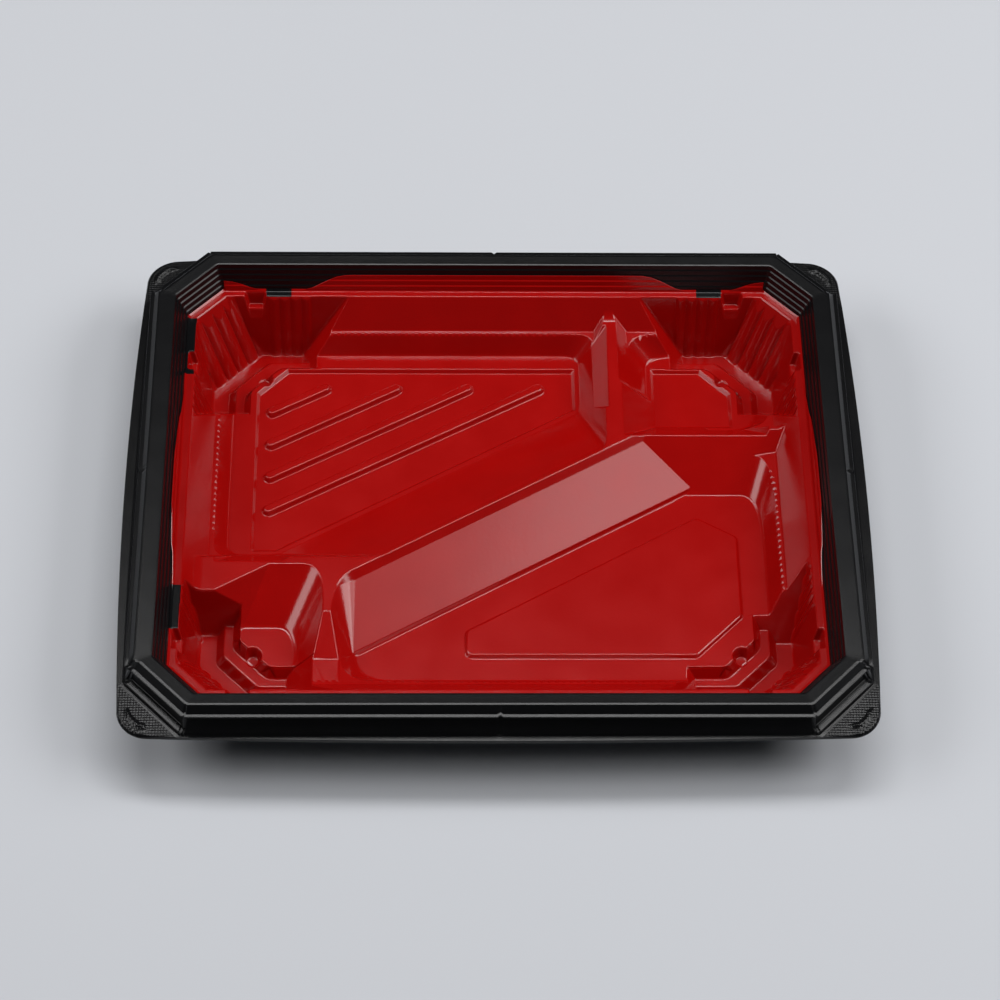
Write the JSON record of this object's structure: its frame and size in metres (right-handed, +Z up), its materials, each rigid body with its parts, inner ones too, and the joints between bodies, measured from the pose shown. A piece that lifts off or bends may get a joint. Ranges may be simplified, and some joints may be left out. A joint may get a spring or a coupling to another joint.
{
  "type": "bento box tray",
  "caption": "Shallow thermoformed lunch tray: red film-lined wells parted by a diagonal crest, stepped black rim with corner tabs, and hollow corner feet.",
  "frame": {"origin": "on the surface that the feet stand on, under the middle of the tray", "axes": "+X along the long side, to the diner's right; +Y away from the diner; +Z up, out of the opening"},
  "size_m": [0.242, 0.191, 0.034],
  "materials": {
    "black_sheet": "satin black filled polypropylene sheet with a fine grain",
    "red_film": "glossy printed film with a faint orange-peel"
  },
  "bodies": {
    "root": {"tray_shell": "black_sheet", "red_film": "red_film"}
  },
  "joints": []
}
